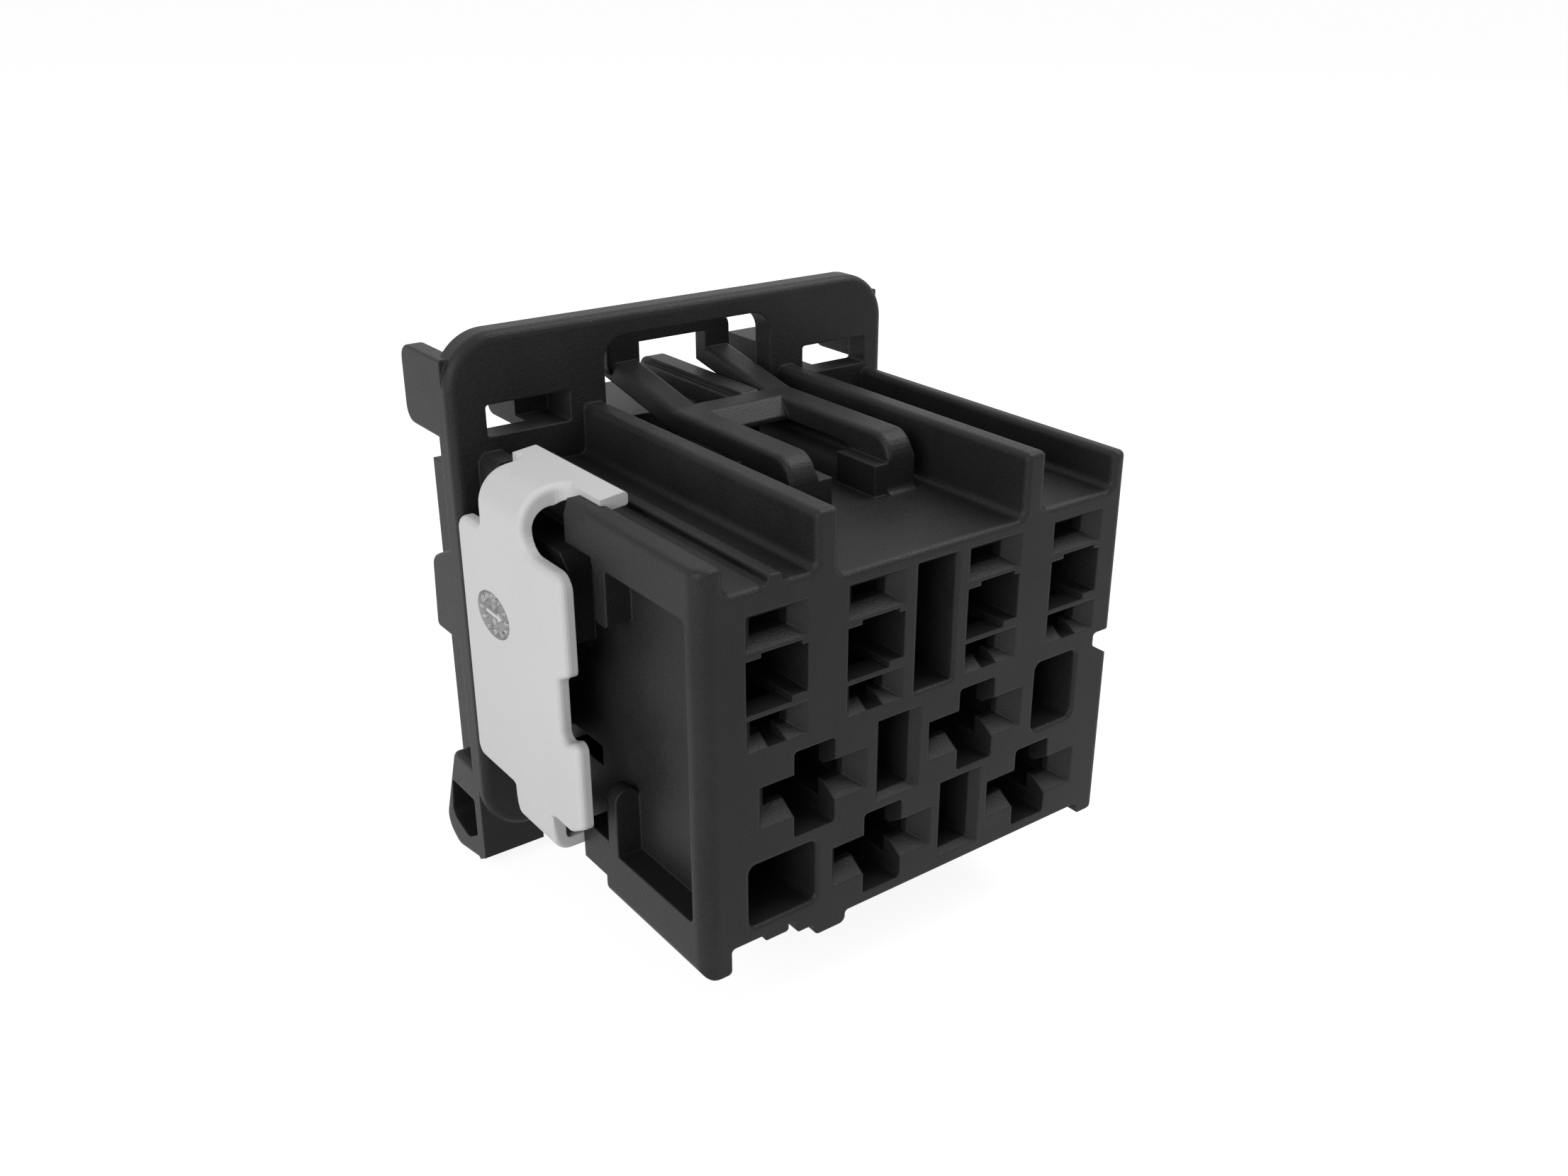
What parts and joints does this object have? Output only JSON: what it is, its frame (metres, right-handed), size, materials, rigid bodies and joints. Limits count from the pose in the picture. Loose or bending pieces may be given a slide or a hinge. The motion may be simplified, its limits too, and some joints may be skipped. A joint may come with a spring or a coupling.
{
  "type": "multi-way wire connector housing",
  "caption": "Moulded connector housing with rows of contact cavities, keying rails, a top latch, a rear flange and a sliding side lock.",
  "frame": {"origin": "middle of the mating face, halfway across the body and 12.25 mm above the undersides of the front feet", "axes": "+X across the mating face away from the side lock, +Y from the mating face to the wire side, +Z towards the latch"},
  "size_m": [0.0333, 0.0331, 0.037],
  "materials": {
    "housing_plastic": "fine spark-eroded grain, matt",
    "lock_plastic": "smooth satin"
  },
  "bodies": {
    "housing": {"housing": "housing_plastic"},
    "secondary_lock": {"secondary_lock": "lock_plastic"}
  },
  "joints": [
    {"name": "lock_slide", "type": "slide", "parent": "housing", "child": "secondary_lock", "axis": [1, 0, 0], "range_m": [0, 0.0007]}
  ]
}
